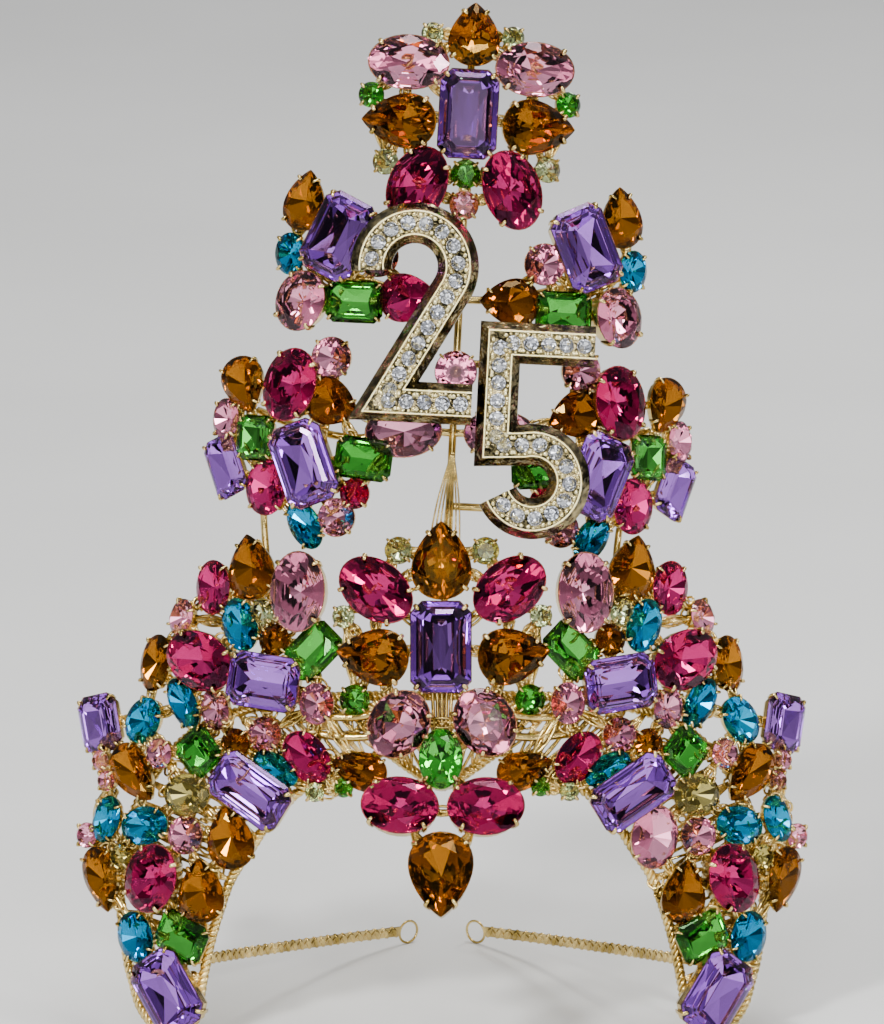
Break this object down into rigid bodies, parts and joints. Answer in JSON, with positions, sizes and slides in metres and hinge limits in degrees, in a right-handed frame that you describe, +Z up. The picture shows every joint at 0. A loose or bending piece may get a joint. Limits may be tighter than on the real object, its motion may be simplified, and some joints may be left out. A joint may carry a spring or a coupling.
{
  "type": "carnival crown",
  "caption": "Tall leaning stage crown of claw-set coloured stones on a rope-wire band, with two numerals in front and two rear bands.",
  "frame": {"origin": "under the middle of the crown's bounding box, on the surface that it stands on", "axes": "+Z up, the crown's front faces -Y, +X to the right as seen from the front"},
  "size_m": [0.2228, 0.1416, 0.3123],
  "materials": {
    "gold": "bright pale gold plate",
    "antique_gold": "dark bright antique gold plate",
    "topaz": "faceted, foil-backed brown",
    "light_pink": "faceted, foil-backed light pink",
    "ruby": "faceted, foil-backed ruby pink",
    "amethyst": "faceted, foil-backed purple",
    "emerald": "faceted, foil-backed green",
    "peridot": "faceted, foil-backed pale green",
    "aqua": "faceted, foil-backed blue",
    "smoke": "faceted, foil-backed smoky olive",
    "clear": "small faceted clear stones"
  },
  "bodies": {
    "root": {"band_rope": "gold", "spine": "gold", "top_rosette": "gold", "upper_wing_left": "gold", "upper_wing_right": "gold", "middle_wing_left": "gold", "middle_wing_right": "gold", "centre_rosette": "gold", "side_field_left": "gold", "side_field_right": "gold", "numeral_2": "antique_gold", "numeral_5": "antique_gold", "rear_band_left": "gold", "rear_band_right": "gold", "crest_pear": "topaz", "crest_oval_left": "light_pink", "crest_oval_right": "light_pink", "crest_side_pear_left": "topaz", "crest_side_pear_right": "topaz", "crest_octagon": "amethyst", "crest_lower_oval_left": "ruby", "crest_lower_oval_right": "ruby", "upper_octagon_left": "amethyst", "upper_octagon_right": "amethyst", "upper_oval_left": "light_pink", "upper_oval_right": "light_pink", "middle_oval_left": "ruby", "middle_oval_right": "ruby", "middle_octagon_left": "amethyst", "middle_octagon_right": "amethyst", "centre_pear": "topaz", "centre_oval_left": "ruby", "centre_oval_right": "ruby", "centre_octagon": "amethyst", "centre_side_pear_left": "topaz", "centre_side_pear_right": "topaz", "centre_lower_oval_left": "light_pink", "centre_lower_oval_right": "light_pink", "drop_small_oval": "emerald", "drop_oval_left": "ruby", "drop_oval_right": "ruby", "drop_pear": "topaz", "side_oval_left": "light_pink", "side_oval_right": "light_pink", "side_octagon_left": "amethyst", "side_octagon_right": "amethyst", "side_outer_oval_left": "ruby", "side_outer_oval_right": "ruby", "temple_octagon_left": "amethyst", "temple_octagon_right": "amethyst", "leg_oval_left": "ruby", "leg_oval_right": "ruby", "leg_octagon_left": "amethyst", "leg_octagon_right": "amethyst"}
  },
  "joints": []
}
